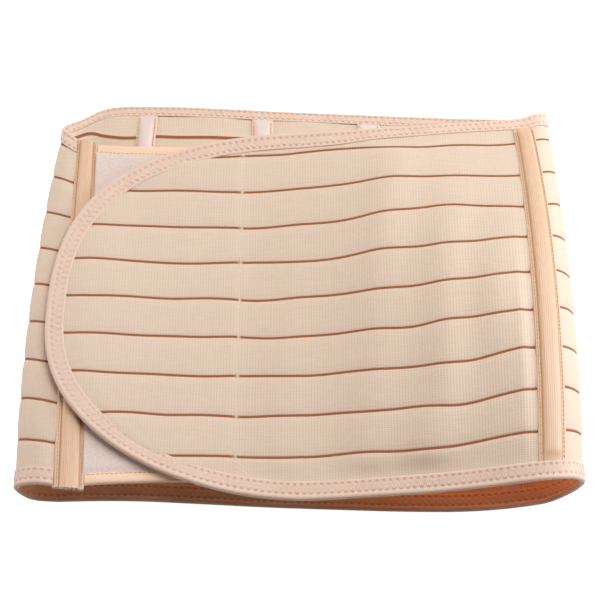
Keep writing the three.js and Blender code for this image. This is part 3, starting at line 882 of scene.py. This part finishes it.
# Spun polyester thread: pale, with a slight gloss.
THREAD = 0.22  # its radius
thread, tree, shader = cloth_material("polyester_thread", "efd8c7", 0.55, 0.1)
fill(shader, {"Specular IOR Level": 0.4})

# Round the flap's tip the tape is at its widest. It is narrower along the top, and widens again
# as it comes to the right seam.
TIP_WIDTH = 10.6
TIP_TOP_EXTRA = 0.4
TOP_WIDTH = 8.4
SEAM_WIDTH = 10
WIDE_AS_FAR_AS = 200
NARROWS_OVER = 36
WIDENS_OVER = 30
TAPE_JOINT = 0.3  # how far the tapes lap over each other at the right seam
round_angles = np.linspace(math.pi / 2, -math.pi / 2, 260)
round_width = TIP_WIDTH + TIP_TOP_EXTRA * np.clip(np.sin(round_angles), 0, 1) ** 6
round_fold = outline_point(round_angles, 0)
round_rim = outline_point(round_angles, round_width)
along_top = np.linspace(right_run + TAPE_JOINT, tip_run + TIP_TOP_RUN, 110)[:-1]
along_bottom = np.linspace(tip_run + TIP_BOTTOM_RUN, right_run + TAPE_JOINT, 90)[1:]
wide = np.clip((tip_run + WIDE_AS_FAR_AS - along_top) / NARROWS_OVER, 0, 1)
top_width = TOP_WIDTH + (round_width[0] - TOP_WIDTH) * wide * wide * (3 - 2 * wide)
at_seam = np.clip((along_top - right_run + WIDENS_OVER) / WIDENS_OVER, 0, 1)
top_width += (SEAM_WIDTH - TOP_WIDTH) * at_seam
flap_path = TapePath(
    np.concatenate([along_top, round_fold[0], along_bottom]),
    np.concatenate([along_top * 0 + 1, round_fold[1] / FLAP_HEIGHT, along_bottom * 0]),
    np.concatenate([along_top, round_rim[0], along_bottom]),
    np.concatenate([
        1 - top_width / height_at(place_at(along_top)),
        round_rim[1] / FLAP_HEIGHT,
        round_width[-1] / height_at(place_at(along_bottom)),
    ]),
)

# Round the tip the tape is stretched, which closes most of the needle's pits.
TIP_NEEDLED = 0.3
flap_needled = np.concatenate([
    along_top * 0 + 1,
    TIP_NEEDLED + (1 - TIP_NEEDLED) * np.abs(np.sin(round_angles)) ** 3,
    along_bottom * 0 + 1,
])


def hem_line(place):
    return 0 * place


BACK_TAPE_WIDTH = 10.4
CASING_GAP = 0.35
back_ends = (right_run, left_run - CASING_WIDTH / 2 - CASING_GAP)
back_bottom = straight_path(*back_ends, hem_line, height_at, False, BACK_TAPE_WIDTH, 300)
back_top = straight_path(*back_ends, hem_line, height_at, True, BACK_TAPE_WIDTH, 300)
for name, path, inner, cut in (
    ("flap_edge_tape", flap_path, 1, (0.0215, 0.74)),
    ("back_edge_tape_bottom", back_bottom, 1, (0.0215, 0.391)),
    ("back_edge_tape_top", back_top, INNER_TOP_WIDTH / TAPE_WIDTH, (0.0185, 0.391)),
):
    needled = flap_needled if path is flap_path else 1.0
    tape = folded_tape(name + "_cloth", path, ROLL, inner, TAPE_WIDTH, 0.05, needled)
    tape.data.materials.append(knitted)
    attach(tape, "root")
    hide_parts(name)
    faces = [zigzag(path, 1)]
    if path is not flap_path:
        faces.append(zigzag(path, -1, inner))
    ends = (np.concatenate(part) for part in zip(*faces))
    sewing = stitch_thread(name + "_zigzag", *ends, THREAD / 1000)
    sewing.data.materials.append(thread)
    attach(sewing, "root")

# The hook tape's far end is sewn through the flap with one upright row of pale stitches.
SEAM_END = 12  # from the flap's cut edges
STITCH = 2.6  # from one stitch to the next
PALE_STITCH = 2.0  # what shows of it
THREAD_RISE = 0.35  # over the cloth's face
levels = np.arange(SEAM_END, FLAP_HEIGHT - SEAM_END, STITCH)
seam_place = place_at(tip_run + HOOK_RUN)
seam_height = height_at(seam_place)
start = on_band(seam_place, levels / seam_height, CLOTH / 2 + THREAD_RISE)
end = on_band(seam_place, (levels + PALE_STITCH) / seam_height, CLOTH / 2 + THREAD_RISE)
away = on_band(seam_place, levels / seam_height, CLOTH / 2 + 2) - start
hook_seam = stitch_thread("hook_seam_stitches", start, end, away, 0.00025)
hook_seam.data.materials.append(thread)
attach(hook_seam, "root")

# Landing tapes. A narrow plain satin tape folded over the landing's edges, held by one straight
# line of stitches near its rim.
TWILL = 0.9  # drawn coarser than the real twill, so that it shows
STITCH_SHARE = 0.8  # of each stitch shows
STITCH_ROW, STITCH_RISE = 0.81, 1.42
PLAIN_ROLL = [
    (0.0, 0.0), (0.015, 0.7), (0.07, 1.2), (0.17, 1.5), (0.34, 1.62), (0.54, 1.55), (0.7, 1.42),
    (0.81, 1.34), (0.91, 1.42), (0.985, 1.3), (1.0, 0.95),
]

# Woven satin tape: smoother and warmer than the knitted one, with a faint twill.
plain_tape, tree, shader = cloth_material("plain_woven_tape", "f2d3b6", 0.6, 0.1)
apart = cloth_uv(tree)
twill = stripes(tree, apart.outputs["X"], TWILL)
raised = add_node(tree, "Bump", {"Height": twill, "Strength": 0.2, "Distance": 0.0002})
fill(shader, {"Normal": raised})

# Spun polyester thread again, in the tan that matches the casings.
tan_thread = cloth_material("tan_polyester_thread", "cf9d72", 0.55, 0.1)[0]
for name, upper in (("landing_edge_tape_bottom", False), ("landing_edge_tape_top", True)):
    path = straight_path(left_run + CASING_WIDTH / 2 + 0.2, landing_run, landing_low, landing_high,
                         upper, LANDING_TAPE, 120)
    tape = folded_tape(name + "_cloth", path, PLAIN_ROLL, 1, LANDING_TAPE, 0.03)
    tape.data.materials.append(plain_tape)
    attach(tape, "root")
    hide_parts(name)
    at = np.arange(1, path.length[-1] - STITCH, STITCH)
    row = np.full(len(at), STITCH_ROW)
    start = path.point(row, STITCH_RISE, at)
    end = path.point(row, STITCH_RISE, at + STITCH_SHARE * STITCH)
    away = path.point(row, 3, at) - path.point(row, 1, at)
    sewing = stitch_thread(name + "_stitches", start, end, away, 0.0002)
    sewing.data.materials.append(tan_thread)
    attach(sewing, "root")


# Side casings. A satin tape is sewn down along both edges over each side seam, and the flat bone
# inside pushes up its middle, so that it shows as a smooth raised channel between two stitched
# strips. The right one ends at the edge tapes and the left one runs from hem to hem.
CASING_THICK = 0.4
SEWN_STRIP = 0.62  # the flat strips begin this share of the way out
PUCKER, PUCKER_STEP = 0.07, 5.2  # small waves between the stitches
BOW, BOW_STEP = 0.10, 43  # and long ones in the channel
PRESSED = 1.3  # how high the channel stands under a tape
PRESSED_END = 0.8


def casing(name, centre_run, low, high, section, side, taper):
    """side is 1 on the band's outside and -1 on its inside. taper is how far from its ends the
    channel flattens, so that it can go under a tape."""
    levels = np.linspace(low, high, 170)
    across = np.array([a for a, _ in section])
    rise = np.array([r for _, r in section])
    if side < 0:
        across, rise = across[::-1], rise[::-1]
    runs = centre_run(levels)[None, :] + across[:, None]
    place = place_at(runs)
    on_strip = np.abs(across) > SEWN_STRIP * across.max()
    pucker = PUCKER * np.sin(levels * 2 * math.pi / PUCKER_STEP)[None, :] * on_strip[:, None]
    bow = BOW * np.sin(levels * 2 * math.pi / BOW_STEP + 1)[None, :] * ~on_strip[:, None]
    rise = rise[:, None] + pucker + bow
    if taper:
        flat = np.clip((np.minimum(levels - low, high - levels) - PRESSED_END) / taper, 0, 1)
        flat = flat * flat * (3 - 2 * flat)
        rise = np.minimum(rise, PRESSED) * (1 - flat) + rise * flat
    points = on_band(place, levels[None, :] / height_at(place), side * rise)
    uv = np.stack(np.broadcast_arrays(across[:, None], levels[None, :]), -1) / 1000
    return cloth_piece(name, points, uv, CASING_THICK)


def casing_stitches(name, centre_run, low, high, offsets, side, rise):
    """Straight rows of stitches at offsets from the middle of a casing."""
    starts, ends, normals = [], [], []
    for offset in offsets:
        at = np.arange(low + 1, high - STITCH, STITCH)
        for k, levels in enumerate((at, at + STITCH_SHARE * STITCH)):
            place = place_at(centre_run(levels) + offset)
            spot = on_band(place, levels / height_at(place), side * rise)
            (starts, ends)[k].append(spot)
        away = on_band(place, levels / height_at(place), side * (rise + 2))
        normals.append(away - spot)
    rows = (np.concatenate(part) for part in (starts, ends, normals))
    return stitch_thread(name, *rows, THREAD / 1000)


# Polyester satin: glossier than the elastic, streaked along its length by fine cords, and painted
# darker in the groove on each side of the channel, as the shade that falls there.
CORD = 1.1  # drawn coarser than the real cords, so that they show
GROOVE = 5.3  # from the middle
satin, tree, shader = cloth_material("satin_casing_tape", "ebc6a3", 0.42, 0.12)
apart = cloth_uv(tree)
fill(shader, {"Specular IOR Level": 0.4})
place = add_node(tree, "TexCoord")
stretched = add_node(tree, "Mapping", {"Vector": place.outputs["Object"], "Scale": (900, 60, 900)})
streaks = add_node(tree, "TexNoise", {"Vector": stretched, "Scale": 1.0, "Detail": 3.0})
cords = stripes(tree, apart.outputs["X"], CORD)
shade = add_node(
    tree, "Mix", {"Factor": streaks.outputs["Fac"], 6: linear("d6b08d"), 7: linear("e6c8aa")},
    data_type="RGBA",
)
from_middle = add_node(tree, "Math", {0: apart.outputs["X"]}, operation="ABSOLUTE")
from_groove = add_node(tree, "Math", {0: from_middle, 1: GROOVE / 1000}, operation="SUBTRACT")
from_groove = add_node(tree, "Math", {0: from_groove}, operation="ABSOLUTE")
groove = add_node(tree, "MapRange", {"Value": from_groove, "From Min": 0.0002, "From Max": 0.0008})
# Painted shade: the colour darkens towards c49a72 in the groove beside the channel.
groove_shaded = add_node(
    tree, "Mix", {"Factor": groove, 6: linear("c49a72"), 7: shade.outputs[2]}, data_type="RGBA",
)
fill(shader, {"Base Color": groove_shaded.outputs[2]})
raised = add_node(tree, "Bump", {"Height": cords, "Strength": 0.25, "Distance": 0.0002})
fill(shader, {"Normal": raised})

# The casing's section: across from its middle, and out from the middle of the cloth.
SIDE_SECTION = [
    (-8.0, 0.8), (-7.9, 1.2), (-7.3, 1.35), (-6.6, 1.22), (-5.9, 1.35), (-5.4, 1.3), (-5.1, 1.45),
    (-4.7, 1.8), (-4.1, 2.2), (-3.3, 2.5), (-2.2, 2.68), (-1.0, 2.74), (0.0, 2.7),
]
SIDE_SECTION = SIDE_SECTION + [(-a, r) for a, r in SIDE_SECTION[-2::-1]]
SIDE_ROWS = (-6.5, 6.5)
UNDER_TAPE = 9.6  # where the right casing goes under the edge tapes
right_top, left_top = float(height_at(RIGHT_SEAM)), float(height_at(LEFT_SEAM))
for name, run, low, high, taper, cut in (
    ("right_side_casing", right_run, UNDER_TAPE, right_top - UNDER_TAPE, 7, (0.018, 0.229)),
    ("left_side_casing", left_run, -0.6, left_top + 0.4, 0, (0.018, 0.233)),
):
    def seam_run(level, run=run):
        return run + 0 * level

    tape = casing(name + "_cloth", seam_run, low, high, SIDE_SECTION, 1, taper)
    tape.data.materials.append(satin)
    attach(tape, "root")
    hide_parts(name)
    sewing = casing_stitches(name + "_stitches", seam_run, low + 1, high - 1, SIDE_ROWS, 1, 1.5)
    sewing.data.materials.append(tan_thread)
    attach(sewing, "root")

# Frayed ends. The left casing is cut off raw at the bottom hem, and its pale warp threads hang
# out of the cut.
FRAYED_THREADS = 120
CHANNEL = 5  # nearer to the casing's middle than this the threads hang from its raised channel
stray = random.Random(11)
bm = bmesh.new()
for _ in range(FRAYED_THREADS):
    run = left_run + stray.uniform(-8.2, 8.2)
    place = float(place_at(run))
    rise = stray.uniform(0.8, 1.6) if abs(run - left_run) > CHANNEL else stray.uniform(1.0, 2.9)
    root = Vector(on_band(place, 0.2 / height_at(place), rise))
    length = stray.uniform(0.8, 2.4) / 1000
    way = Vector((stray.uniform(-0.5, 0.5), -1, stray.uniform(-0.6, 0.1))).normalized()
    turned = way.to_track_quat("Z", "Y").to_matrix().to_4x4()
    bmesh.ops.create_cone(
        bm, cap_ends=True, segments=5, radius1=0.00012, radius2=0.00005, depth=length,
        matrix=Matrix.Translation(root + way * length / 2) @ turned,
    )
mesh = bpy.data.meshes.new("left_casing_frayed_ends")
bm.to_mesh(mesh)
bm.free()
frayed_ends = bpy.data.objects.new("left_casing_frayed_ends", mesh)
scene.collection.objects.link(frayed_ends)

# Raw undyed yarn: pale and slightly pink, and dull.
raw_warp = cloth_material("raw_warp_thread", "f0ddda", 0.7, 0.2)[0]
frayed_ends.data.materials.append(raw_warp)
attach(frayed_ends, "root")

# Back casings. Four paler satin tapes run up the inside of the back, each with a flat bone. They
# start and end under the edge tapes' rims, and spread a little towards the bottom hem.
BACK_SECTION = [
    (-7.0, 0.8), (-6.9, 1.15), (-6.2, 1.3), (-5.6, 1.2), (-5.0, 1.3), (-4.5, 1.5), (-4.0, 2.1),
    (-3.2, 2.55), (-2.0, 2.72), (0.0, 2.75),
]
BACK_SECTION = BACK_SECTION + [(-a, r) for a, r in BACK_SECTION[-2::-1]]
BACK_ROWS = (-5.6, 5.6)
BACK_TAPER = 14
BACK_PLACES = slice(10 * PLACES, 16 * PLACES)  # from the foot of one fold to that of the other
BACK_HALF = 150
BACK_SPREAD = 0.06
BACK_LENGTH = 255
BACK_MIDDLE = 130
CHANNEL_EDGES = (4.2, 5.2)

# Polyester satin, paler than the side casings: a cool smooth channel between warmer sewn strips.
pale_satin, tree, shader = cloth_material("pale_satin_tape", "e8dad2", 0.4, 0.1)
apart = cloth_uv(tree)
fill(shader, {"Specular IOR Level": 0.4})
edge = add_node(tree, "Math", {0: apart.outputs["X"]}, operation="ABSOLUTE")
edge = add_node(
    tree, "MapRange",
    {"Value": edge, "From Min": CHANNEL_EDGES[0] / 1000, "From Max": CHANNEL_EDGES[1] / 1000},
)
shade = add_node(
    tree, "Mix", {"Factor": edge, 6: linear("e2d3c9"), 7: linear("e6c8ae")}, data_type="RGBA",
)
fill(shader, {"Base Color": shade.outputs[2]})
for k, x in enumerate([0.75, 0.28, -0.16, -0.66]):
    def centre(level, x=x):
        spread = 1 + BACK_SPREAD * (0.5 - level / BACK_LENGTH)
        at_x = np.clip(-x * HALF_WIDTH * spread, -BACK_HALF, BACK_HALF)
        return np.interp(at_x, -middle_x[BACK_PLACES], fine_runs[BACK_PLACES])

    top_edge = float(height_at(place_at(centre(BACK_MIDDLE))))
    low, high = TAPE_WIDTH - LAP, top_edge - INNER_TOP_WIDTH + LAP
    name = f"back_casing_{k + 1}"
    tape = casing(name + "_cloth", centre, low, high, BACK_SECTION, -1, BACK_TAPER)
    tape.data.materials.append(pale_satin)
    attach(tape, "root")
    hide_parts(name)
    sewing = casing_stitches(name + "_stitches", centre, low + 1, high - 1, BACK_ROWS, -1, 1.4)
    sewing.data.materials.append(tan_thread)
    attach(sewing, "root")
